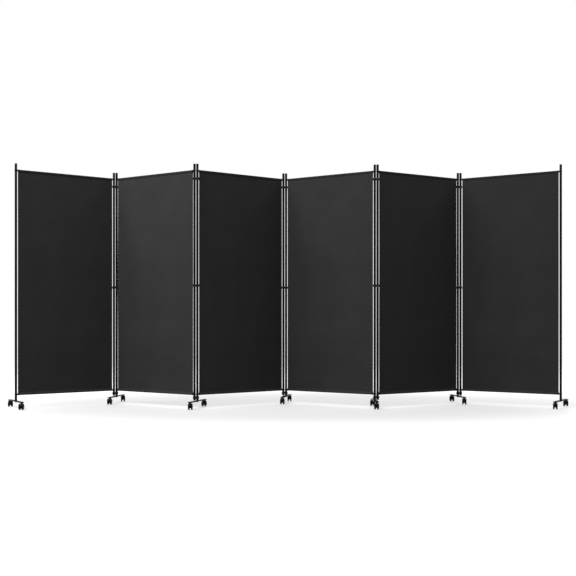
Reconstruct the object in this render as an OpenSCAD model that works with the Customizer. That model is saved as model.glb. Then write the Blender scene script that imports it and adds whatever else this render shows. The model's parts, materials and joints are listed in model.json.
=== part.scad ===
// Folding room divider: six cloth panels on wheeled feet, joined by figure-eight clips.
// X runs along the screen, Y is its depth, Z is up. The origin is on the floor at the middle.

/* [Screen] */
// Height of the post caps above the floor
screen_h = 1800; // [1500:5:2000]
// Distance between the two posts of one panel, centre to centre
panel_pitch = 780; // [600:5:950]
// Turn of each panel from the line of the screen, from left to right, in degrees
panel_turn = [35, -33.4, 35.7, -32.7, 31, -31.5]; // [-45:0.1:45]

/* [Posts] */
// Outer diameter of the post tubes
post_d = 18; // [16:0.5:19]
// Wall of the post tubes
post_wall = 1.2; // [1:0.1:2]
// Height of the seam between the lower and the upper tube
seam_z = 903; // [800:1:1000]
// Length of the spigot that joins the two tubes inside
spigot_len = 90; // [60:1:140]
// Height of the part of the cap that shows above the tube
cap_h = 3; // [2:0.5:6]
// Length of the cap's plug inside the tube
cap_plug_len = 12; // [8:1:20]
// Gap between the end of a post that has no foot and the top of the next foot's bar
post_lift = 2; // [1:0.5:6]

/* [Rails] */
// Outer diameter of the rails
rail_d = 12; // [10:0.5:13]
// Wall of the rails
rail_wall = 1; // [0.8:0.1:1.5]
// Distance from the top of the cap down to the axis of the top rail
top_rail_drop = 51; // [30:1:100]
// Height of the bottom rail's axis
bottom_rail_z = 102; // [98:1:140]
// Length of the threaded plug in each end of a rail
rail_plug_len = 18; // [14:1:30]
// Shank diameter of the screws that hold the rails
screw_d = 5; // [4:0.5:6]
// Head diameter of those screws
screw_head_d = 8.5; // [7:0.5:10]
// Height of their domed heads
screw_head_h = 1.3; // [1:0.1:1.4]
// Width across the flats of the sockets in those heads
screw_key = 3; // [2.5:0.5:4]
// Length of thread in the rail's plug
screw_bite = 12; // [8:1:14]

/* [Cloth] */
// Gap between the side edge of the cloth and the post
cloth_gap = 7; // [6:0.5:14]
// Thickness of the cloth
cloth_t = 1.2; // [1:0.1:2]
// Clearance between the rail and the pocket around it
pocket_gap = 0.4; // [0.3:0.05:1]
// Distance from a rail's axis to the seam that closes its pocket
seam_drop = 22; // [16:1:30]
// Width of the folded hem along each side edge
hem_w = 10; // [6:1:20]
// Thickness of that hem
hem_t = 2.4; // [2:0.1:4]

/* [Clips] */
// Distance between the two posts at a fold, centre to centre
pair_pitch = 21; // [20.5:0.25:28]
// Height of each clip
clip_h = 17; // [12:0.5:25]
// Wall of the clip around a post
clip_wall = 3.8; // [3:0.1:5]
// Radial clearance between the clip and the post that turns in it
clip_gap = 0.08; // [0.05:0.01:0.1]
// Chamfer on the clip's outer edges
clip_chamfer = 1.2; // [0.5:0.1:2]
// Distance from the top rail's axis down to the middle of the top clip
top_clip_drop = 58; // [40:1:100]
// Height of the middle of the bottom clip
bottom_clip_z = 76.5; // [74:0.5:80]

/* [Feet] */
// Turn of each foot about its post, from left to right, in degrees
foot_turn = [34, -12, -18, -12, 1, 11, -33]; // [-60:1:60]
// Overall length of a foot's bar
bar_len = 300; // [260:5:400]
// Width of the bar
bar_w = 35; // [30:1:45]
// Thickness of the bar
bar_t = 5; // [4:0.5:6]
// Radius on the bar's long edges
bar_round = 1.2; // [0.5:0.1:2]
// Height of the bar's underside
bar_z = 50; // [50:0.5:52]
// Diameter of the bolt that holds the bar to the post
bolt_d = 8; // [6:0.5:9]
// Length of that bolt inside the post
bolt_bite = 22; // [15:1:25]
// Height of the bolt's head
bolt_head_h = 5; // [4:0.5:6]
// Thickness of the washer under the bar
washer_t = 1.2; // [0.8:0.1:2]
// Length of the threaded insert in the post's lower end
insert_len = 30; // [28:1:45]

/* [Casters] */
// Direction from stem to wheels of each foot's front and rear caster, in degrees from X
caster_trail = [[270, 97], [268, 98], [281, 108], [264, 90], [258, 92], [260, 68], [254, 82]]; // [0:1:360]
// Diameter of the wheels
wheel_d = 40; // [38:0.5:41]
// Width of one wheel
wheel_w = 11.5; // [10:0.5:15]
// Distance that the wheels trail behind the stem
trail = 14; // [12:0.5:15]
// Diameter of the stem
stem_d = 6; // [5:0.5:7]
// Length of the stem inside the housing
stem_depth = 22; // [18:0.5:24]
// Diameter of the axle
axle_d = 5; // [4:0.5:6]
// Thickness of the web between the two wheels
web_t = 9; // [8.5:0.5:12]
// Thickness of the hood over the wheels
hood_t = 2.4; // [2:0.1:3]
// Angle at which the hood ends above the brake lever
hood_end = 118; // [114:1:120]
// Length of the brake lever's pedal
pedal_len = 18; // [12:1:22]
// Width of the pedal
pedal_w = 24; // [16:1:30]

/* [Hidden] */
$fn = 64;
eps = 0.01;
running_gap = 0.05;
seat_gap = 0.02;
swivel_gap = 0.4;
panels = len(panel_turn);
feet = len(foot_turn);
folds = panels - 1;
left = 0;
right = 1;
front = 0;
rear = 1;
// This panel stands on two feet, and each other panel on the one at its outer post
middle_panel = floor(panels / 2);

post_r = post_d / 2;
tube_bore_r = post_r - post_wall;
tube_chamfer = 0.4;
cap_dome_r = 1.5;
top_rail_z = screen_h - top_rail_drop;
rail_r = rail_d / 2;
screw_rim_h = 0.4;
screw_socket_depth = 0.9;
screw_head_r = screw_head_d / 2;
// How far a flat head of this width reaches down the round of the post
screw_head_seat = post_r - sqrt(post_r ^ 2 - screw_head_r ^ 2);
bar_top_z = bar_z + bar_t;
washer_lip = 4.5;
bolt_head_lip = 2.5;
bolt_key = 5.5;
bolt_socket_depth = 3;
rivet_lip = 3;
rivet_h = 1.8;
cloth_start = post_r + cloth_gap;
cloth_len = panel_pitch - 2 * cloth_start;
pocket_in_r = rail_r + pocket_gap;
pocket_out_r = pocket_in_r + cloth_t;
clip_zs = [bottom_clip_z, seam_z, top_rail_z - top_clip_drop];
bar_end_r = bar_w / 2;

// The caster's own frame has the stem's axis at x = 0 and the floor at z = 0
wheel_r = wheel_d / 2;
wheel_gap = 0.5;
hood_gap = 1.2;
hood_in_r = wheel_r + hood_gap;
hood_out_r = hood_in_r + hood_t;
hood_start = -15;
wheel_in_y = web_t / 2 + wheel_gap;
wheel_out_y = wheel_in_y + wheel_w;
boss_wall = 6;
boss_r = stem_d / 2 + boss_wall;
boss_top_z = bar_z - swivel_gap;
boss_bottom_z = 30;
collar_lip = 1;
collar_h = 2.6;
collar_drop = 4;
web_inset = 0.4;
stem_end_gap = 1;
hub_r = 9;
axle_end_wall = 3;
pin_r = 1.5;
knuckle_r = 3;
pivot_r = hood_out_r + 2.6;
pivot_x = -trail + pivot_r * cos(hood_end);
pivot_z = wheel_r + pivot_r * sin(hood_end);
knuckle_half = 7.4;
knuckle_gap = 0.5;
ear_w = 6;
lever_in_r = wheel_r + 4;
lever_half = wheel_out_y - 2;
lever_start = 130;
arm_foot = 132;
lever_end = 172;
pad_start = 158;
pad_in_r = wheel_r + 2.8;
pedal_t = 2.6;
pedal_angle = 152;
pedal_rise = 13;
pedal_corner_r = 5;

function heading(a) = [cos(a), sin(a)];
function clip_turn(k) = (panel_turn[k] + panel_turn[k + 1]) / 2;
function raw_left(i) =
    i == 0 ? [0, 0] : raw_right(i - 1) + pair_pitch * heading(clip_turn(i - 1));
function raw_right(i) = raw_left(i) + panel_pitch * heading(panel_turn[i]);
// The panel whose post each foot carries, and the side of that post
function foot_panel(j) = j <= middle_panel ? j : j - 1;
function foot_side(j) = j <= middle_panel ? left : right;
function raw_foot(j) = foot_side(j) == left ? raw_left(foot_panel(j)) : raw_right(foot_panel(j));
function along_bar(j) = heading(foot_turn[j] + 90);
bar_end_reach = bar_len / 2 - bar_end_r;
bar_ends = [
    for (j = [0 : feet - 1], s = [-1, 1])
        raw_foot(j) + s * bar_end_reach * along_bar(j)
];
end_xs = [for (p = bar_ends) p[0]];
end_ys = [for (p = bar_ends) p[1]];
middle = [(min(end_xs) + max(end_xs)) / 2, (min(end_ys) + max(end_ys)) / 2];
function left_post(i) = raw_left(i) - middle;
function right_post(i) = raw_right(i) - middle;
function foot_at(j) = raw_foot(j) - middle;
function has_foot(i, side) = side == left ? i <= middle_panel : i >= middle_panel;

side_names = ["front", "rear"];

module at_panel(i) {
    translate(left_post(i)) rotate(panel_turn[i]) children();
}

module at_foot(j) {
    translate(foot_at(j)) rotate(foot_turn[j]) children();
}

// The caster's x axis points from its wheels to its stem
module at_caster(j, side) {
    along = side == front ? -1 : 1;
    translate(foot_at(j) + along * bar_end_reach * along_bar(j))
        rotate(caster_trail[j][side] + 180)
            children();
}

module along_panel() {
    rotate([0, 90, 0]) children();
}

module ring(outer_r, inner_r, h) {
    difference() {
        cylinder(r = outer_r, h = h);
        translate([0, 0, -eps]) cylinder(r = inner_r, h = h + 2 * eps);
    }
}

// A tube of a post from one height to another, drilled for the screw of one rail
module post_tube(from_z, to_z, screw_z) {
    difference() {
        rotate_extrude()
            polygon([
                [tube_bore_r, from_z],
                [post_r - tube_chamfer, from_z],
                [post_r, from_z + tube_chamfer],
                [post_r, to_z - tube_chamfer],
                [post_r - tube_chamfer, to_z],
                [tube_bore_r, to_z]
            ]);
        translate([-post_d, 0, screw_z])
            along_panel() cylinder(d = screw_d + 2 * running_gap, h = 2 * post_d);
    }
}

module spigot() {
    translate([0, 0, seam_z - spigot_len / 2])
        ring(tube_bore_r - seat_gap, tube_bore_r - post_wall, spigot_len);
}

module post_cap() {
    translate([0, 0, screen_h - cap_h])
        rotate_extrude() {
            square([post_r, cap_h - cap_dome_r]);
            square([post_r - cap_dome_r, cap_h]);
            intersection() {
                translate([post_r - cap_dome_r, cap_h - cap_dome_r]) circle(r = cap_dome_r);
                square([post_r, cap_h]);
            }
        }
    translate([0, 0, screen_h - cap_h - cap_plug_len])
        cylinder(r = tube_bore_r - seat_gap, h = cap_plug_len);
}

// The threaded insert in a post's lower end
module post_insert(from_z) {
    translate([0, 0, from_z])
        ring(tube_bore_r - seat_gap, bolt_d / 2 + running_gap, insert_len);
}

// The bolt on which a foot's bar turns, with its washer
module foot_bolt() {
    washer_z = bar_z - running_gap - washer_t;
    head_z = washer_z - bolt_head_h;
    translate([0, 0, washer_z]) ring(bolt_d / 2 + washer_lip, bolt_d / 2 + seat_gap, washer_t);
    difference() {
        union() {
            translate([0, 0, head_z]) cylinder(r = bolt_d / 2 + bolt_head_lip, h = bolt_head_h);
            translate([0, 0, head_z]) cylinder(d = bolt_d, h = bar_top_z + bolt_bite - head_z);
        }
        translate([0, 0, head_z - eps]) hex_socket(bolt_key, bolt_socket_depth + eps);
    }
}

module post(footed) {
    from_z = footed ? bar_top_z + running_gap : bar_top_z + post_lift;
    post_tube(from_z, seam_z, bottom_rail_z);
    post_tube(seam_z + seat_gap, screen_h - cap_h - seat_gap, top_rail_z);
    spigot();
    post_cap();
    post_insert(from_z);
    if (footed) foot_bolt();
}

// A rail from post to post, with its ends shaped to the posts
module rail(z) {
    difference() {
        translate([0, 0, z])
            along_panel() ring(rail_r, rail_r - rail_wall, panel_pitch);
        for (x = [0, panel_pitch])
            translate([x, 0, z - rail_d]) cylinder(r = post_r + seat_gap, h = 2 * rail_d);
    }
    for (turned = [0, 180])
        translate([panel_pitch / 2, 0, z])
            rotate(turned)
                translate([post_r + seat_gap - panel_pitch / 2, 0, 0])
                    rail_plug();
}

module rail_plug() {
    along_panel()
        ring(rail_r - rail_wall - seat_gap, screw_d / 2 + seat_gap, rail_plug_len);
}

module hex_socket(key, depth) {
    cylinder(r = key / sqrt(3), h = depth, $fn = 6);
}

// A domed head, its axis up and its rim's foot below z = 0 where the post falls away
module screw_head() {
    dome_h = screw_head_h - screw_rim_h;
    dome_r = (screw_head_r ^ 2 + dome_h ^ 2) / (2 * dome_h);
    rotate_extrude()
        intersection() {
            translate([0, screw_head_h - dome_r]) circle(r = dome_r);
            translate([0, -screw_head_seat]) square([screw_head_r, screw_head_seat + screw_head_h]);
        }
}

module rail_screw() {
    head_x = -post_r - screw_head_h;
    shank_x = head_x + screw_socket_depth;
    difference() {
        union() {
            difference() {
                translate([-post_r, 0, 0]) rotate([0, -90, 0]) screw_head();
                translate([0, 0, -screw_head_d])
                    cylinder(r = post_r + seat_gap, h = 2 * screw_head_d);
            }
            translate([shank_x, 0, 0])
                along_panel() cylinder(d = screw_d, h = post_r + screw_bite - shank_x);
        }
        translate([head_x - eps, 0, 0])
            along_panel() hex_socket(screw_key, screw_socket_depth + eps);
    }
}

module rail_screws(z) {
    for (turned = [0, 180])
        translate([panel_pitch / 2, 0, z])
            rotate(turned)
                translate([-panel_pitch / 2, 0, 0])
                    rail_screw();
}

module panel_frame(i) {
    color("#26272a")
        at_panel(i) {
            post(has_foot(i, left));
            translate([panel_pitch, 0, 0]) post(has_foot(i, right));
            for (z = [bottom_rail_z, top_rail_z]) {
                rail(z);
                rail_screws(z);
            }
        }
}

// A round that runs out in two straight sides to a point above or below it
module drop_shape(r, point) {
    touch_a = acos(r / abs(point));
    touch = r * [sin(touch_a), sign(point) * cos(touch_a)];
    circle(r = r);
    polygon([[0, point], touch, [0, 0], [-touch[0], touch[1]]]);
}

// The two rail pockets, each with its point at the seam that closes it
module pockets(r) {
    point = seam_drop * r / pocket_in_r;
    translate([0, bottom_rail_z]) drop_shape(r, point);
    translate([0, top_rail_z]) drop_shape(r, -point);
}

// The cloth's section across the panel: a sheet between two rail pockets
module cloth_section() {
    difference() {
        union() {
            translate([-cloth_t / 2, bottom_rail_z]) square([cloth_t, top_rail_z - bottom_rail_z]);
            pockets(pocket_out_r);
        }
        pockets(pocket_in_r);
    }
}

module side_hem() {
    low_z = bottom_rail_z + seam_drop;
    translate([0, -hem_t / 2, low_z]) cube([hem_w, hem_t, top_rail_z - seam_drop - low_z]);
}

module panel_cloth(i) {
    color("#3a3b3e")
        at_panel(i)
            translate([cloth_start, 0, 0]) {
                rotate([90, 0, 90]) linear_extrude(cloth_len) cloth_section();
                side_hem();
                translate([cloth_len - hem_w, 0, 0]) side_hem();
            }
}

module clip() {
    outer_r = post_r + clip_wall;
    xs = [0, pair_pitch];
    difference() {
        for (x = xs)
            translate([x, 0, -clip_h / 2])
                rotate_extrude()
                    polygon([
                        [0, 0],
                        [outer_r - clip_chamfer, 0],
                        [outer_r, clip_chamfer],
                        [outer_r, clip_h - clip_chamfer],
                        [outer_r - clip_chamfer, clip_h],
                        [0, clip_h]
                    ]);
        for (x = xs)
            translate([x, 0, -clip_h]) cylinder(r = post_r + clip_gap, h = 2 * clip_h);
    }
}

module fold_clips(k) {
    color("#1c1d1f")
        translate(right_post(k))
            rotate(clip_turn(k))
                for (z = clip_zs) translate([0, 0, z]) clip();
}

// Half of the bar's section, from its middle out to the rounded edge
module bar_section() {
    square([bar_end_r - bar_round, bar_t]);
    translate([0, bar_round]) square([bar_end_r, bar_t - 2 * bar_round]);
    for (z = [bar_round, bar_t - bar_round])
        translate([bar_end_r - bar_round, z]) circle(r = bar_round);
}

module foot_plate() {
    difference() {
        translate([0, 0, bar_z]) {
            for (y = [-bar_end_reach, bar_end_reach])
                translate([0, y, 0]) rotate_extrude() bar_section();
            for (turned = [0, 180])
                rotate(turned)
                    translate([0, bar_end_reach, 0])
                        rotate([90, 0, 0]) linear_extrude(2 * bar_end_reach) bar_section();
        }
        for (y = [-bar_end_reach, bar_end_reach])
            translate([0, y, 0]) cylinder(d = stem_d + 2 * seat_gap, h = bar_top_z + eps);
        cylinder(d = bolt_d + 2 * running_gap, h = bar_top_z + eps);
    }
}

module caster_stem() {
    rivet_r = stem_d / 2 + rivet_lip;
    translate([0, 0, boss_top_z - stem_depth])
        cylinder(d = stem_d, h = bar_top_z - boss_top_z + stem_depth);
    translate([0, 0, bar_top_z])
        cylinder(r1 = rivet_r, r2 = rivet_r - rivet_h, h = rivet_h);
}

module foot_bar(j) {
    color("#2b2c30")
        at_foot(j) {
            foot_plate();
            for (y = [-bar_end_reach, bar_end_reach])
                translate([0, y, 0]) caster_stem();
        }
}

// A slice of a caster's section between two angles about the axle
module sector(from_a, to_a, reach) {
    steps = 8;
    polygon(concat(
        [[0, 0]],
        [for (n = [0 : steps]) reach * heading(from_a + (to_a - from_a) * n / steps)]
    ));
}

module arc_band(inner_r, outer_r, from_a, to_a) {
    intersection() {
        difference() {
            circle(r = outer_r);
            circle(r = inner_r);
        }
        sector(from_a, to_a, 2 * outer_r);
    }
}

// Lifts a section drawn about the axle to its place, as thick as two halves
module about_axle(half) {
    translate([-trail, half, wheel_r]) rotate([90, 0, 0]) linear_extrude(2 * half) children();
}

module across(half, r) {
    translate([0, half, 0]) rotate([90, 0, 0]) cylinder(r = r, h = 2 * half);
}

module caster_web() {
    about_axle(web_t / 2) {
        intersection() {
            circle(r = hood_out_r - web_inset);
            sector(hood_start, hood_end, 2 * hood_out_r);
        }
        circle(r = hub_r);
    }
}

module caster_boss() {
    difference() {
        union() {
            translate([0, 0, boss_bottom_z]) cylinder(r = boss_r, h = boss_top_z - boss_bottom_z);
            translate([0, 0, boss_top_z - collar_drop])
                cylinder(r = boss_r + collar_lip, h = collar_h);
        }
        for (side = [-1, 1])
            translate([-trail, side * (web_t / 2 + boss_r), wheel_r])
                across(boss_r, hood_in_r);
    }
}

module hood_ears() {
    ear_mid = knuckle_half + knuckle_gap + ear_w / 2;
    for (side = [-1, 1])
        translate([pivot_x, side * ear_mid, pivot_z]) across(ear_w / 2, knuckle_r);
}

module caster_housing(j, side) {
    braked = side == front;
    color("#1f2023")
        at_caster(j, side) {
            difference() {
                union() {
                    caster_web();
                    about_axle(wheel_out_y) arc_band(hood_in_r, hood_out_r, hood_start, hood_end);
                    caster_boss();
                    if (braked) hood_ears();
                }
                translate([0, 0, boss_top_z - stem_depth - stem_end_gap])
                    cylinder(r = stem_d / 2 + running_gap, h = stem_depth + 2 * stem_end_gap);
                translate([-trail, 0, wheel_r]) across(web_t, axle_d / 2 + running_gap);
                if (braked) {
                    translate([pivot_x, 0, pivot_z])
                        across(knuckle_half + knuckle_gap, knuckle_r + knuckle_gap);
                    translate([pivot_x, 0, pivot_z]) across(wheel_out_y, pin_r + seat_gap);
                }
            }
            if (braked)
                translate([pivot_x, 0, pivot_z])
                    across(knuckle_half + knuckle_gap + ear_w, pin_r);
        }
}

// One wheel's section: radius across, distance from the caster's middle up
module wheel_section() {
    shoulder = 2.5;
    rim_t = 4.5;
    dish = 2.2;
    cap_r = 6.5;
    rim_in_r = wheel_r - rim_t;
    bore_r = axle_d / 2 + seat_gap;
    difference() {
        union() {
            translate([0, wheel_in_y]) square([wheel_r - shoulder, wheel_w]);
            translate([0, wheel_in_y + shoulder]) square([wheel_r, wheel_w - 2 * shoulder]);
            for (y = [wheel_in_y + shoulder, wheel_out_y - shoulder])
                translate([wheel_r - shoulder, y]) circle(r = shoulder);
        }
        translate([cap_r, wheel_out_y - dish]) square([rim_in_r - cap_r, dish + eps]);
        translate([-eps, wheel_in_y - eps])
            square([bore_r + eps, wheel_w - axle_end_wall + eps]);
        translate([-wheel_r, 0]) square([wheel_r, wheel_out_y + eps]);
    }
}

module caster_wheels(j, side) {
    color("#34353a")
        at_caster(j, side)
            translate([-trail, 0, wheel_r]) {
                for (face = [-90, 90]) rotate([face, 0, 0]) rotate_extrude() wheel_section();
                across(wheel_out_y - axle_end_wall - seat_gap, axle_d / 2);
            }
}

module pedal() {
    root = (lever_in_r + hood_t / 2) * heading(pedal_angle) + [-trail, wheel_r];
    translate([root[0], 0, root[1]])
        rotate([0, pedal_rise, 0])
            translate([-pedal_len, 0, -pedal_t / 2])
                linear_extrude(pedal_t) {
                    for (y = [-1, 1])
                        translate([pedal_corner_r, y * (pedal_w / 2 - pedal_corner_r)])
                            circle(r = pedal_corner_r);
                    translate([0, pedal_corner_r - pedal_w / 2])
                        square([pedal_len, pedal_w - 2 * pedal_corner_r]);
                    translate([pedal_corner_r, -pedal_w / 2])
                        square([pedal_len - pedal_corner_r, pedal_w]);
                }
}

module brake_arm() {
    pivot = [pivot_x + trail, pivot_z - wheel_r];
    foot = (lever_in_r + hood_t / 2) * heading(arm_foot);
    along = atan2(foot[1] - pivot[1], foot[0] - pivot[0]);
    about_axle(knuckle_half)
        polygon([
            pivot + knuckle_r * heading(along + 90),
            pivot + knuckle_r * heading(along - 90),
            foot + hood_t / 2 * heading(along - 90),
            foot + hood_t / 2 * heading(along + 90)
        ]);
}

module caster_brake(j) {
    color("#17181a")
        at_caster(j, front)
            difference() {
                union() {
                    about_axle(lever_half)
                        arc_band(lever_in_r, lever_in_r + hood_t, lever_start, lever_end);
                    for (side = [-1, 1])
                        translate([0, side * (wheel_in_y + lever_half) / 2, 0])
                            about_axle((lever_half - wheel_in_y) / 2)
                                arc_band(pad_in_r, lever_in_r + eps, pad_start, lever_end);
                    brake_arm();
                    translate([pivot_x, 0, pivot_z]) across(knuckle_half, knuckle_r);
                    pedal();
                }
                translate([pivot_x, 0, pivot_z]) across(wheel_out_y, pin_r + running_gap);
            }
}

for (i = [0 : panels - 1]) {
    panel_frame(i);
    panel_cloth(i);
}
for (k = [0 : folds - 1])
    fold_clips(k);
for (j = [0 : feet - 1]) {
    foot_bar(j);
    caster_brake(j);
    for (s = [front, rear]) {
        caster = str("foot_", j + 1, "_", side_names[s], "_caster_");
        caster_housing(j, s);
        caster_wheels(j, s);
    }
}
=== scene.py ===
"""A folding room divider of six cloth panels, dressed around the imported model."""
import json
import math

import bpy
from mathutils import Matrix, Vector, noise


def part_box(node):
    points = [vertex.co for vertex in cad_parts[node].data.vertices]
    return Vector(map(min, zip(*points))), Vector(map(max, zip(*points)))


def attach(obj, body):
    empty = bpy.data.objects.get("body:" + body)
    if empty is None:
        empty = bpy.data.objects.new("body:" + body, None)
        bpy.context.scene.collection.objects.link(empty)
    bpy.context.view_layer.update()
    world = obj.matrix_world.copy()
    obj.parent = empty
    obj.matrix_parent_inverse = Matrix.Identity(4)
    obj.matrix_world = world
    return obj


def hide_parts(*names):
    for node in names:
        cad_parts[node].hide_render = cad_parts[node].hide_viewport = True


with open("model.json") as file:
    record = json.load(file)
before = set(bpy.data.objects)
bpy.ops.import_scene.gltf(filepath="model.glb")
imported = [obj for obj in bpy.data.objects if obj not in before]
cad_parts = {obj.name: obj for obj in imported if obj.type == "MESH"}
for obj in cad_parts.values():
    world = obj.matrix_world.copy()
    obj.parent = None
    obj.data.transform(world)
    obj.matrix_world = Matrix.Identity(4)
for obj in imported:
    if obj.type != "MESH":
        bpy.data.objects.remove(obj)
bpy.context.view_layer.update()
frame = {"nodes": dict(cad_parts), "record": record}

record = frame["record"]

MM = 0.001
PANELS = 6

# Camera of the photograph
IMAGE_PX = 576
FOCAL_PX = 936
SENSOR_MM = 36
PRINCIPAL_X_PX = 284.6
HORIZON_Y_PX = 319.7
EYE_HEIGHT = 0.651
END_POST_RIGHT_OF_EYE = -1.975
END_POST_DEPTH = 6.88

# Posts
CAP_H = 3 * MM

# Cloth
RAIL_R = 6 * MM
POCKET_GAP = 0.4 * MM
SOLID_CLOTH_T = 1.2 * MM
CLOTH_T = 0.6 * MM
LAYER_GAP = 0.15 * MM
POST_TO_CLOTH = 15.4 * MM
SEAM_DROP = 14 * MM
TURN_IN = 6 * MM
HEM_W = 10 * MM
HEM_STEP_W = 1.2 * MM
HEM_T = 1.1 * MM
HEM_EDGE_R = 0.6 * MM
HEM_OUTWARD = 0.25 * MM
POCKET_HEM_OUTWARD = 0.5 * MM
POCKET_HEM_FADE = 10 * MM

# The cloth's waves: how high they are, how long, and how far they reach from an edge or a seam.
# Noise is read at these numbers times the place across the cloth and down it, in metres.
BROAD_WAVE_H, BROAD_WAVE_NOISE = 2.4 * MM, (2.2, 1.1)
NARROW_WAVE_H, NARROW_WAVE_NOISE = 0.9 * MM, (7, 2.5)
SIDE_FOLD_H, SIDE_FOLD_LEN, SIDE_FOLD_REACH = 0.5 * MM, 34 * MM, 55 * MM
SIDE_FOLD_WANDER, SIDE_FOLD_WANDER_NOISE = 6 * MM, 3
SIDE_FOLD_MEAN, SIDE_FOLD_NOISE = 0.6, 2.4
RIGHT_SIDE_PHASE = 1.3
HEM_WAVE_H, HEM_WAVE_LEN, HEM_WAVE_REACH = 0.35 * MM, 33 * MM, 20 * MM
PUCKER_H, PUCKER_LEN, PUCKER_REACH = 0.45 * MM, 27 * MM, 24 * MM
PUCKER_EDGE_FADE = 30 * MM
BEAT_WANDER, HEM_WAVE_NOISE, PUCKER_NOISE = 3, 8, 9
DRAG_H, DRAG_RAYS, DRAG_REACH = 1.1 * MM, 11, 140 * MM
DRAG_CORNER_FADE = 25 * MM

# Stitches
STITCH_PITCH = 5 * MM
STITCH_LEN = 3.9 * MM
STITCH_HALF_W = 0.4 * MM
STITCH_H = 0.35 * MM
STITCH_SHOULDERS = (0.22, 0.78)
STITCH_SINK, STITCH_END_SINK = 0.5, 0.3
HEM_STITCH_IN = 8 * MM
SEAM_INSET = 1 * MM


def post_axes():
    """The axes of each panel's left and right post, from the fold pivots and the end mounts."""
    pivots = {j["name"]: Vector(j["pos_m"]) for j in record["behaviour"]["joints"]}
    ends = {m["name"]: Vector(m["pos_m"]) for m in record["mounts"]}
    folds = range(1, PANELS)
    left = [ends["left_end_post"]] + [pivots[f"fold_{k}_right_pivot"] for k in folds]
    right = [pivots[f"fold_{k}_left_pivot"] for k in folds] + [ends["right_end_post"]]
    return left, right


LEFT_POSTS, RIGHT_POSTS = post_axes()
PANEL_PITCH = (RIGHT_POSTS[0] - LEFT_POSTS[0]).xy.length


def panel_matrix(i):
    """The panel's own frame: x from its left post to its right one, y to its back, z up."""
    along = (RIGHT_POSTS[i] - LEFT_POSTS[i]).xy
    return Matrix.Translation((LEFT_POSTS[i].x, LEFT_POSTS[i].y, 0)) @ Matrix.Rotation(
        math.atan2(along.y, along.x), 4, "Z"
    )


def mesh_object(name, verts, faces):
    mesh = bpy.data.meshes.new(name)
    mesh.from_pydata(verts, [], faces)
    mesh.validate()
    mesh.shade_smooth()
    obj = bpy.data.objects.new(name, mesh)
    bpy.context.scene.collection.objects.link(obj)
    return obj


# Materials

def material(name):
    mat = bpy.data.materials.new(name)
    mat.use_nodes = True
    nodes = mat.node_tree.nodes
    return mat, nodes, mat.node_tree.links, nodes["Principled BSDF"]


def add(nodes, kind, **values):
    """A new node. A value that names one of its inputs goes there, any other is the node's own."""
    node = nodes.new(kind)
    for key, value in values.items():
        label = key.replace("_", " ")
        if label in node.inputs:
            node.inputs[label].default_value = value
        else:
            setattr(node, key, value)
    return node


def math_node(nodes, links, operation, first, second=None, clamp=False):
    node = add(nodes, "ShaderNodeMath", operation=operation, use_clamp=clamp)
    for socket, value in zip(node.inputs, (first, second)):
        if value is None:
            continue
        if isinstance(value, (int, float)):
            socket.default_value = value
        else:
            links.new(value, socket)
    return node.outputs[0]


def ramp(nodes, links, factor, stops):
    node = add(nodes, "ShaderNodeValToRGB")
    while len(node.color_ramp.elements) < len(stops):
        node.color_ramp.elements.new(0.5)
    for element, (place, colour) in zip(node.color_ramp.elements, stops):
        element.position = place
        element.color = (*colour, 1)
    links.new(factor, node.inputs["Fac"])
    return node.outputs["Color"]


def grey(value):
    return (value, value, value)


def object_coords(nodes, links):
    """The object's own coordinates, as one vector and split into X, Y and Z."""
    coords = add(nodes, "ShaderNodeTexCoord").outputs["Object"]
    split = add(nodes, "ShaderNodeSeparateXYZ")
    links.new(coords, split.inputs[0])
    return coords, split.outputs


def noise_texture(nodes, links, coords, **values):
    node = add(nodes, "ShaderNodeTexNoise", **values)
    links.new(coords, node.inputs["Vector"])
    return node.outputs["Fac"]


def vector_length(nodes, links, vector):
    node = add(nodes, "ShaderNodeVectorMath", operation="LENGTH")
    links.new(vector, node.inputs[0])
    return node.outputs["Value"]


def smooth_range(nodes, links, value, start, end, at_start, at_end):
    """Goes smoothly from at_start to at_end while the value goes from start to end."""
    node = add(nodes, "ShaderNodeMapRange", interpolation_type="SMOOTHSTEP")
    for socket, number in zip(node.inputs[1:5], (start, end, at_start, at_end)):
        socket.default_value = number
    links.new(value, node.inputs["Value"])
    return node.outputs[0]


def weighted_sum(nodes, links, *terms):
    """The sum of (socket, weight) pairs."""
    total = None
    for socket, weight in terms:
        part = math_node(nodes, links, "MULTIPLY", socket, weight)
        total = part if total is None else math_node(nodes, links, "ADD", total, part)
    return total


def add_bump(nodes, links, bsdf, height, strength, distance):
    node = add(nodes, "ShaderNodeBump", Strength=strength, Distance=distance)
    links.new(height, node.inputs["Height"])
    links.new(node.outputs[0], bsdf.inputs["Normal"])


def painted_edge_shade(nodes, links, axes):
    """1 on the cloth, and darker at its outermost edges: painted shade along the rail pockets and
    down the side hems.
    """
    dark_end, fade_end, dark_tone = 1.5 * MM, 7 * MM, 0.45
    low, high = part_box("panel_1_cloth")
    half_width, half_height = PANEL_PITCH / 2, (high[2] - low[2]) / 2
    spans = {
        "X": (half_width, half_width - POST_TO_CLOTH),
        "Z": (low[2] + half_height, half_height),
    }
    inner = []
    for axis, (middle, half) in spans.items():
        off = math_node(nodes, links, "SUBTRACT", axes[axis], middle)
        off = math_node(nodes, links, "ABSOLUTE", off)
        inner.append(math_node(nodes, links, "SUBTRACT", half, off))
    nearest = math_node(nodes, links, "MINIMUM", *inner)
    return smooth_range(nodes, links, nearest, dark_end, fade_end, dark_tone, 1.0)


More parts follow.
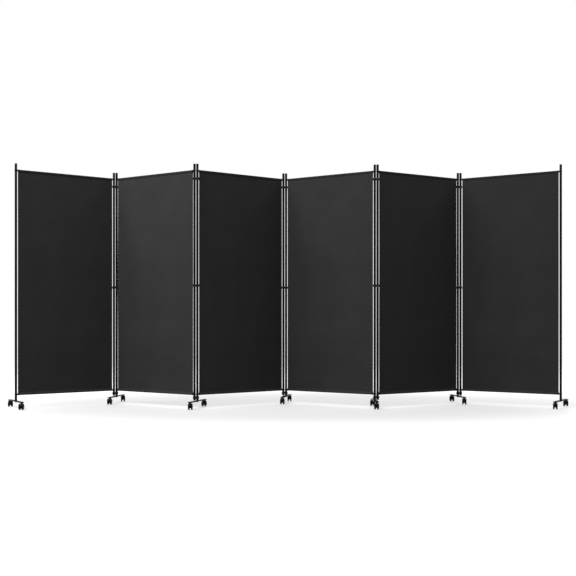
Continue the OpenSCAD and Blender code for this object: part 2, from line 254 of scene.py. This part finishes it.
def woven_cloth(name, base=0.0235):
    """Plain-woven polyester: crossing threads, slubs along both, slow tone changes, and painted
    shade at its outermost edges.
    """
    mat, nodes, links, bsdf = material(name)
    thread = 0.55 * MM
    along, across = 60, 1400
    darkest, lightest = 0.72, 1.28
    coords, axes = object_coords(nodes, links)
    waves = []
    for axis in ("X", "Z"):
        turns = math_node(nodes, links, "MULTIPLY", axes[axis], math.pi / thread)
        waves.append(math_node(nodes, links, "SINE", turns))
    weave = math_node(nodes, links, "MULTIPLY", *waves)

    def slubs(stretch):
        mapping = add(nodes, "ShaderNodeMapping", Scale=stretch)
        links.new(coords, mapping.inputs["Vector"])
        return noise_texture(nodes, links, mapping.outputs[0], Scale=1.0, Detail=2.0)

    warp = slubs((across, across, along))
    weft = slubs((along, across, across))
    threads = math_node(nodes, links, "ADD", warp, weft)
    slow = noise_texture(nodes, links, coords, Scale=4.5, Detail=5.0, Roughness=0.6)
    tone = weighted_sum(nodes, links, (threads, 0.2), (slow, 0.6), (weave, 0.05))
    stops = [(0.25, grey(base * darkest)), (0.75, grey(base * lightest))]
    shaded = add(nodes, "ShaderNodeVectorMath", operation="SCALE")
    links.new(ramp(nodes, links, tone, stops), shaded.inputs[0])
    # painted shade: the cloth's colour is darkened at its outermost edges, along the pockets and
    # the side hems
    links.new(painted_edge_shade(nodes, links, axes), shaded.inputs["Scale"])
    links.new(shaded.outputs["Vector"], bsdf.inputs["Base Color"])
    height = math_node(nodes, links, "ADD", weave, weighted_sum(nodes, links, (threads, 0.8)))
    add_bump(nodes, links, bsdf, height, strength=0.5, distance=0.12 * MM)
    rough = weighted_sum(nodes, links, (slow, 0.2))
    links.new(math_node(nodes, links, "ADD", rough, 0.68), bsdf.inputs["Roughness"])
    bsdf.inputs["Specular IOR Level"].default_value = 0.06
    bsdf.inputs["Sheen Weight"].default_value = 0.02
    bsdf.inputs["Sheen Roughness"].default_value = 0.5
    return mat


def thread_material(name):
    """Twisted sewing thread, a little glossier than the cloth."""
    mat, nodes, links, bsdf = material(name)
    coords, _ = object_coords(nodes, links)
    twist = noise_texture(nodes, links, coords, Scale=2200.0, Detail=2.0)
    stops = [(0.3, grey(0.018)), (0.7, grey(0.034))]
    links.new(ramp(nodes, links, twist, stops), bsdf.inputs["Base Color"])
    add_bump(nodes, links, bsdf, twist, strength=0.4, distance=0.1 * MM)
    bsdf.inputs["Roughness"].default_value = 0.5
    bsdf.inputs["Specular IOR Level"].default_value = 0.25
    return mat


def powder_coat(name, base=0.004):
    """Satin black powder coat with fine orange peel, and a plain, duller plastic on the caps."""
    mat, nodes, links, bsdf = material(name)
    plastic_roughness, coat_gloss = 0.42, 0.12
    coords, axes = object_coords(nodes, links)
    cap_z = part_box("panel_1_frame")[1][2] - CAP_H
    coat = math_node(nodes, links, "LESS_THAN", axes["Z"], cap_z)
    peel = noise_texture(nodes, links, coords, Scale=900.0, Detail=3.0, Roughness=0.55)
    slow = noise_texture(nodes, links, coords, Scale=9.0, Detail=6.0, Roughness=0.65)
    stops = [(0.35, grey(base * 0.8)), (0.7, grey(base * 1.35))]
    links.new(ramp(nodes, links, slow, stops), bsdf.inputs["Base Color"])
    rough = weighted_sum(nodes, links, (slow, 0.16), (peel, 0.08), (coat, -coat_gloss))
    rough = math_node(nodes, links, "ADD", rough, plastic_roughness)
    links.new(rough, bsdf.inputs["Roughness"])
    height = math_node(nodes, links, "MULTIPLY", peel, coat)
    add_bump(nodes, links, bsdf, height, strength=0.25, distance=0.06 * MM)
    bsdf.inputs["Specular IOR Level"].default_value = 0.05
    return mat


def moulded_plastic(name, base, roughness, grain=0.35):
    """Moulded nylon with a fine spark-eroded grain."""
    mat, nodes, links, bsdf = material(name)
    coords, _ = object_coords(nodes, links)
    cells = add(nodes, "ShaderNodeTexVoronoi", Scale=1500.0, Randomness=1.0)
    links.new(coords, cells.inputs["Vector"])
    slow = noise_texture(nodes, links, coords, Scale=40.0, Detail=5.0, Roughness=0.6)
    stops = [(0.3, grey(base * 0.8)), (0.75, grey(base * 1.4))]
    links.new(ramp(nodes, links, slow, stops), bsdf.inputs["Base Color"])
    rough = weighted_sum(nodes, links, (slow, 0.2))
    links.new(math_node(nodes, links, "ADD", rough, roughness - 0.1), bsdf.inputs["Roughness"])
    add_bump(nodes, links, bsdf, cells.outputs["Distance"], strength=grain, distance=0.05 * MM)
    bsdf.inputs["Specular IOR Level"].default_value = 0.1
    return mat


def dress_nodes():
    """Gives every CAD node that shows its finish."""
    finishes = {
        "_frame": powder_coat("powder_coat"),
        "_bar": powder_coat("foot_coat"),
        "_clips": moulded_plastic("clip_plastic", 0.006, 0.5),
        "_housing": moulded_plastic("housing_plastic", 0.004, 0.42),
        "_wheels": moulded_plastic("wheel_plastic", 0.006, 0.34, 0.15),
        "_brake": moulded_plastic("brake_plastic", 0.004, 0.48),
    }
    for name, obj in frame["nodes"].items():
        for ending, mat in finishes.items():
            if name.endswith(ending):
                for slot in obj.material_slots:
                    slot.material = mat


# Cloth

class Cloth:
    """One panel's cloth: a strip that goes round both rails, drawn over the panel's width.

    s runs along the strip's middle line from the turned-in edge behind the top rail, over that
    rail, down the front, under the bottom rail and up to the turned-in edge behind it.
    """

    def __init__(self, i):
        low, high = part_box(f"panel_{i + 1}_cloth")
        outer_r = RAIL_R + POCKET_GAP + SOLID_CLOTH_T
        self.top_z = high[2] - outer_r
        self.bottom_z = low[2] + outer_r
        self.width = PANEL_PITCH - 2 * POST_TO_CLOTH
        self.seed = 31.7 * (i + 1)
        self.points = self.middle_line()
        self.lengths = [0.0]
        for a, b in zip(self.points, self.points[1:]):
            self.lengths.append(self.lengths[-1] + (b - a).length)
        self.length = self.lengths[-1]
        self.top_seam_s = self.s_at(self.top_z - SEAM_DROP)
        self.bottom_seam_s = self.s_at(self.bottom_z + SEAM_DROP)
        self.top_turn_s = self.lengths[self.turn_point]
        self.bottom_turn_s = self.length - self.top_turn_s

    def middle_line(self):
        """Points (y, z) of the strip's middle line, dense round the rails and at the seams."""
        turn_in_steps, slope_steps, arc_steps, middle_steps = 3, 6, 20, 190
        r = RAIL_R + POCKET_GAP + CLOTH_T / 2
        open_angle = math.acos(r / SEAM_DROP)
        layer_gap = CLOTH_T + LAYER_GAP
        top, bottom = self.top_z - SEAM_DROP, self.bottom_z + SEAM_DROP
        half = []
        for n in range(turn_in_steps):
            half.append(Vector((layer_gap, top - TURN_IN * (1 - n / turn_in_steps))))
        seam_back = Vector((layer_gap, top))
        tangent = Vector((r * math.sin(open_angle), self.top_z - r * math.cos(open_angle)))
        for n in range(slope_steps):
            half.append(seam_back.lerp(tangent, n / slope_steps))
        self.turn_point = len(half) + arc_steps // 2
        for n in range(arc_steps + 1):
            a = open_angle + (2 * math.pi - 2 * open_angle) * n / arc_steps
            half.append(Vector((r * math.sin(a), self.top_z - r * math.cos(a))))
        front = half[-1].copy()
        seam = Vector((0, top))
        for n in range(1, slope_steps + 1):
            half.append(front.lerp(seam, n / slope_steps))
        drops = [3, 7, 12, 18, 25, 33, 42, 52]
        rows = [top - d * MM for d in drops]
        last = top - drops[-1] * MM
        first = bottom + drops[-1] * MM
        rows += [last + (first - last) * n / middle_steps for n in range(1, middle_steps)]
        rows += [bottom + d * MM for d in reversed(drops)]
        mirror_z = self.top_z + self.bottom_z
        lower = [Vector((p.x, mirror_z - p.y)) for p in reversed(half)]
        return half + [Vector((0, z)) for z in rows] + lower

    def s_at(self, z):
        """Length along the strip of its front point at height z."""
        on_front = 0.1 * MM
        best = min(
            (n for n, p in enumerate(self.points) if abs(p.x) < on_front),
            key=lambda n: abs(self.points[n].y - z),
        )
        return self.lengths[best]

    def middle(self, s):
        """The middle line's point at s, and its unit normal, which points out of the pocket."""
        low, high = 0, len(self.points) - 2
        while low < high:
            mid = (low + high + 1) // 2
            if self.lengths[mid] <= s:
                low = mid
            else:
                high = mid - 1
        a, b = self.points[low], self.points[low + 1]
        step = self.lengths[low + 1] - self.lengths[low]
        t = min(max((s - self.lengths[low]) / step, 0), 1)
        along = b - a
        before = a - self.points[max(low - 1, 0)]
        after = self.points[min(low + 2, len(self.points) - 1)] - b
        start = end = along.normalized()
        if low > 0:
            start = start + before.normalized()
        if low + 2 < len(self.points):
            end = end + after.normalized()
        tangent = start.lerp(end, t).normalized()
        return a.lerp(b, t), Vector((tangent.y, -tangent.x))

    def folded(self, s):
        """The place on the front leg at the height of s, and -1 if s is on a leg behind a rail."""
        if s < self.top_turn_s:
            return 2 * self.top_turn_s - s, -1
        if s > self.bottom_turn_s:
            return 2 * self.bottom_turn_s - s, -1
        return s, 1

    def ripple(self, x, s):
        """How far the cloth stands off its flat form, with waves, side folds and puckers."""
        s, facing = self.folded(s)
        edge = min(x, self.width - x)
        right = x > self.width / 2
        seam = min(abs(s - self.top_seam_s), abs(s - self.bottom_seam_s))
        span = self.bottom_seam_s - self.top_seam_s
        down = min(max((s - self.top_seam_s) / span, 0), 1)
        held = math.sin(math.pi * down)
        turn = 2 * math.pi

        def n(*place):
            return noise.noise(Vector(place))

        across, along = BROAD_WAVE_NOISE
        slow = BROAD_WAVE_H * held * n(x * across, s * along, self.seed)
        across, along = NARROW_WAVE_NOISE
        slow += NARROW_WAVE_H * held * n(x * across, s * along, self.seed + 5)
        wander = SIDE_FOLD_WANDER * n(s * SIDE_FOLD_WANDER_NOISE, self.seed, 2)
        phase = RIGHT_SIDE_PHASE if right else 0
        fold = math.sin(turn * (edge + wander) / SIDE_FOLD_LEN + phase)
        side = SIDE_FOLD_H * held * math.exp(-edge / SIDE_FOLD_REACH) * fold
        side *= SIDE_FOLD_MEAN + n(s * SIDE_FOLD_NOISE, right, self.seed)
        wander = BEAT_WANDER * n(s * HEM_WAVE_NOISE, right, self.seed + 9)
        beat = turn * s / HEM_WAVE_LEN + wander
        hem = HEM_WAVE_H * math.exp(-edge / HEM_WAVE_REACH) * math.sin(beat)
        wander = BEAT_WANDER * n(x * PUCKER_NOISE, s > span / 2, self.seed + 3)
        beat = turn * x / PUCKER_LEN + wander
        pucker = PUCKER_H * math.exp(-seam / PUCKER_REACH) * math.sin(beat)
        pucker *= min(1, edge / PUCKER_EDGE_FADE)
        reach = math.hypot(edge, seam)
        angle = math.atan2(edge, seam + 1e-9)
        drag = DRAG_H * math.exp(-reach / DRAG_REACH) * min(1, reach / DRAG_CORNER_FADE)
        drag *= math.sin(DRAG_RAYS * angle)
        if not self.top_seam_s < s < self.bottom_seam_s:
            fade = max(0, 1 - seam / (self.top_seam_s - self.top_turn_s))
            hem, pucker, drag = hem * fade, pucker * fade, drag * fade * fade
        return (slow + side + hem + pucker + drag) * facing

    def half_thickness(self, x, s, outer):
        """Half of the cloth's thickness, which grows at the folded side hems.

        It grows mostly inwards on the sheet, and only outwards on a pocket, to clear the rail.
        """
        edge = min(x, self.width - x)
        step = min(max((HEM_W - edge) / HEM_STEP_W, 0), 1)
        step = step * step * (3 - 2 * step)
        s, facing = self.folded(s)
        pocket = max(self.top_seam_s - s, s - self.bottom_seam_s, 0) / POCKET_HEM_FADE
        pocket = min(pocket, 1) if facing == 1 else 1
        outward, inward = HEM_OUTWARD + POCKET_HEM_OUTWARD * pocket, HEM_T * (1 - pocket)
        return CLOTH_T / 2 + step * (outward if outer else inward)

    def at(self, x, s, offset):
        """A point in the panel's frame, that far out of the middle line."""
        point, normal = self.middle(s)
        off = self.ripple(x, s) + offset
        return Vector((POST_TO_CLOTH + x, point.x + normal.x * off, point.y + normal.y * off))

    def on_face(self, x, s, outer, rise=0.0):
        """A point on the strip's outer or inner face, raised off it."""
        lift = self.half_thickness(x, s, outer) + rise
        return self.at(x, s, lift if outer else -lift)

    def columns(self):
        """Places across the strip, close together at both hems."""
        near = [0, 2, 4.5, 7, 8.6, 9.6, 10.6, 13, 17, 22, 28, 36, 46, 58]
        near = [d * MM for d in near]
        middle_cells = 42
        span = self.width - 2 * near[-1]
        middle = [near[-1] + span * n / middle_cells for n in range(1, middle_cells)]
        return near + middle + [self.width - d for d in reversed(near)]

    def build(self, name):
        """The whole strip as one closed mesh: front face, back face and rounded edges."""
        rounding, middle_in, shoulder = 0.15 * MM, 0.4 * MM, 0.8
        xs, rows = self.columns(), self.lengths
        verts, faces = [], []
        for s in rows:
            ring = [self.on_face(x, s, True) for x in xs]
            for x, side in ((self.width, 1), (0, -1)):
                edge = [
                    (self.on_face(x, s, True, -rounding), shoulder),
                    (self.at(x, s, -middle_in), 1.0),
                    (self.on_face(x, s, False, -rounding), shoulder),
                ]
                turn = [p + Vector((side * HEM_EDGE_R * out, 0, 0)) for p, out in edge]
                if side == 1:
                    ring += turn
                    ring += [self.on_face(x, s, False) for x in reversed(xs)]
                else:
                    ring += reversed(turn)
            verts.append(ring)
        count = len(verts[0])
        for row in range(len(rows) - 1):
            for n in range(count):
                m = (n + 1) % count
                a, b = row * count, (row + 1) * count
                faces.append((a + n, b + n, b + m, a + m))
        half = len(xs)
        for row, flip in ((0, False), (len(rows) - 1, True)):
            base = row * count
            top = list(range(base, base + half))
            back = [base + half + 3 + n for n in range(half)][::-1]
            for n in range(half - 1):
                quad = (top[n], top[n + 1], back[n + 1], back[n])
                faces.append(quad[::-1] if flip else quad)
            right = [base + half - 1 + n for n in range(5)]
            left = [base + count - 4 + n for n in range(4)] + [base]
            for side in (right, left):
                faces.append(tuple(side if flip else side[::-1]))
        flat = [p for ring in verts for p in ring]
        return mesh_object(name, flat, faces)


def stitch(verts, faces, start, end, normal):
    """One stitch: a low ridge with pointed ends, laid from start to end."""
    along = (end - start).normalized()
    across = along.cross(normal).normalized()
    base = len(verts)
    verts.append(start - normal * STITCH_H * STITCH_END_SINK)
    for t in STITCH_SHOULDERS:
        mid = start.lerp(end, t)
        verts.append(mid + across * STITCH_HALF_W)
        verts.append(mid + normal * STITCH_H)
        verts.append(mid - across * STITCH_HALF_W)
        verts.append(mid - normal * STITCH_H * STITCH_SINK)
    verts.append(end - normal * STITCH_H * STITCH_END_SINK)
    last = base + 9
    for n in range(4):
        m = (n + 1) % 4
        faces.append((base, base + 1 + m, base + 1 + n))
        faces.append((base + 1 + n, base + 1 + m, base + 5 + m, base + 5 + n))
        faces.append((last, base + 5 + n, base + 5 + m))


def stitching(cloth, name):
    """The seam threads of one cloth on both faces: down each hem and along each pocket's seam."""
    verts, faces = [], []

    def row(point_at, length):
        count = int(length / STITCH_PITCH)
        for n in range(count):
            first = (length - count * STITCH_PITCH) / 2 + n * STITCH_PITCH
            mid = first + STITCH_LEN / 2
            normal = (point_at(mid, 1 * MM) - point_at(mid, 0)).normalized()
            stitch(verts, faces, point_at(first, 0), point_at(first + STITCH_LEN, 0), normal)

    def hem(x, outer):
        return lambda d, rise: cloth.on_face(x, cloth.top_seam_s + d, outer, rise)

    def pocket(s):
        return lambda d, rise: cloth.on_face(d, s, True, rise)

    span = cloth.bottom_seam_s - cloth.top_seam_s
    for x in (HEM_STITCH_IN, cloth.width - HEM_STITCH_IN):
        for outer in (True, False):
            row(hem(x, outer), span)
    for seam_s, turn_s in (
        (cloth.top_seam_s + SEAM_INSET, cloth.top_turn_s),
        (cloth.bottom_seam_s - SEAM_INSET, cloth.bottom_turn_s),
    ):
        for s in (seam_s, 2 * turn_s - seam_s):
            row(pocket(s), cloth.width)
    return mesh_object(name, verts, faces)


def dress_panels():
    """Gives every panel its sewn cloth and seam threads in place of the solid cloth."""
    fabric = woven_cloth("woven_cloth")
    thread = thread_material("seam_thread")
    for i in range(PANELS):
        cloth = Cloth(i)
        place = panel_matrix(i)
        body = f"panel_{i + 1}"
        sheet = cloth.build(f"cloth_{i + 1}")
        seams = stitching(cloth, f"cloth_{i + 1}_stitching")
        for piece, mat in ((sheet, fabric), (seams, thread)):
            piece.data.materials.append(mat)
            piece.matrix_world = place
            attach(piece, body)
        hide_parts(f"panel_{i + 1}_cloth")


# Stage, lights and camera

def seen_rays(nodes, links):
    """1 for the rays that show the backdrop, from the camera, by reflection or through glass."""
    path = add(nodes, "ShaderNodeLightPath")
    camera, glossy = path.outputs["Is Camera Ray"], path.outputs["Is Glossy Ray"]
    seen = math_node(nodes, links, "MAXIMUM", camera, glossy)
    return math_node(nodes, links, "MAXIMUM", seen, path.outputs["Is Transmission Ray"])


def add_floor():
    """A pale floor that keeps the shadows round the screen and fades into the white background,
    with painted shade: its glow is lower in an oval round the screen.
    """
    rings, spokes, reach, ring_growth = 24, 96, 9.0, 1.3
    albedo, glow = 0.24, 0.55
    painted_shade_half = (4.0, 2.1, 1)
    painted_shade_start, painted_shade_end = 0.35, 1.0
    near, far = 3.4, 7.5
    verts, faces = [(0, 0, 0)], []
    for ring in range(1, rings + 1):
        r = reach * (ring / rings) ** ring_growth
        for n in range(spokes):
            a = 2 * math.pi * n / spokes
            verts.append((r * math.cos(a), r * math.sin(a), 0))
    for n in range(spokes):
        m = (n + 1) % spokes
        faces.append((0, 1 + n, 1 + m))
        for ring in range(rings - 1):
            a, b = 1 + ring * spokes, 1 + (ring + 1) * spokes
            faces.append((a + n, b + n, b + m, a + m))
    floor = mesh_object("studio_floor", verts, faces)
    mat, nodes, links, bsdf = material("pale_floor")
    bsdf.inputs["Base Color"].default_value = (albedo, albedo, albedo, 1)
    bsdf.inputs["Roughness"].default_value = 0.6
    bsdf.inputs["Specular IOR Level"].default_value = 0.2
    bsdf.inputs["Emission Color"].default_value = (1, 1, 1, 1)
    coords, _ = object_coords(nodes, links)
    scaled = add(nodes, "ShaderNodeVectorMath", operation="DIVIDE")
    links.new(coords, scaled.inputs[0])
    scaled.inputs[1].default_value = painted_shade_half
    from_middle = vector_length(nodes, links, scaled.outputs["Vector"])
    # painted shade: the glow for seen rays is lower in an oval round the screen and rises to white
    # away from it
    rise = smooth_range(nodes, links, from_middle, painted_shade_start, painted_shade_end, glow, 1.0)
    strength = math_node(nodes, links, "MULTIPLY", seen_rays(nodes, links), rise)
    links.new(strength, bsdf.inputs["Emission Strength"])
    fade = math_node(nodes, links, "SUBTRACT", vector_length(nodes, links, coords), near)
    fade = math_node(nodes, links, "DIVIDE", fade, far - near, clamp=True)
    clear = add(nodes, "ShaderNodeBsdfTransparent")
    mix = add(nodes, "ShaderNodeMixShader")
    links.new(fade, mix.inputs[0])
    links.new(bsdf.outputs[0], mix.inputs[1])
    links.new(clear.outputs[0], mix.inputs[2])
    links.new(mix.outputs[0], nodes["Material Output"].inputs["Surface"])
    floor.data.materials.append(mat)


def add_world():
    """White where the camera or a reflection looks, and a soft even fill elsewhere."""
    fill = 0.107
    world = bpy.data.worlds.new("studio")
    bpy.context.scene.world = world
    world.use_nodes = True
    nodes, links = world.node_tree.nodes, world.node_tree.links
    nodes.clear()
    strength = math_node(nodes, links, "MULTIPLY", seen_rays(nodes, links), 1 - fill)
    strength = math_node(nodes, links, "ADD", strength, fill)
    background = add(nodes, "ShaderNodeBackground")
    background.inputs["Color"].default_value = (1, 1, 1, 1)
    links.new(strength, background.inputs["Strength"])
    output = add(nodes, "ShaderNodeOutputWorld")
    links.new(background.outputs[0], output.inputs["Surface"])


def add_area(name, place, target, size, power):
    light = bpy.data.lights.new(name, "AREA")
    light.shape = "RECTANGLE"
    light.size, light.size_y = size
    light.energy = power
    obj = bpy.data.objects.new(name, light)
    obj.location = place
    obj.rotation_euler = (Vector(target) - Vector(place)).to_track_quat("-Z", "Y").to_euler()
    bpy.context.scene.collection.objects.link(obj)


def add_lights():
    add_area("key_left_front", (-3.8, -3.05, 4.9), (0, 0, 1.1), (5.6, 0.5), 630)
    add_area("fill_right", (6.1, -1.2, 4.1), (0, 0, 1.0), (4.2, 2.5), 130)
    add_area("back_wash", (0.5, 4.5, 4.0), (0, 0, 0.3), (6.0, 2.5), 150)


def add_camera():
    cam = bpy.data.cameras.new("camera")
    cam.sensor_width = SENSOR_MM
    cam.lens = SENSOR_MM * FOCAL_PX / IMAGE_PX
    cam.shift_x = (IMAGE_PX / 2 - PRINCIPAL_X_PX) / IMAGE_PX
    cam.shift_y = (HORIZON_Y_PX - IMAGE_PX / 2) / IMAGE_PX
    obj = bpy.data.objects.new("camera", cam)
    eye = LEFT_POSTS[0] - Vector((END_POST_RIGHT_OF_EYE, END_POST_DEPTH, 0))
    obj.location = (eye.x, eye.y, EYE_HEIGHT)
    obj.rotation_euler = (math.pi / 2, 0, 0)
    bpy.context.scene.collection.objects.link(obj)
    bpy.context.scene.camera = obj


add_camera()
dress_nodes()
dress_panels()
add_floor()
add_world()
add_lights()
bpy.context.scene.view_settings.view_transform = "Standard"
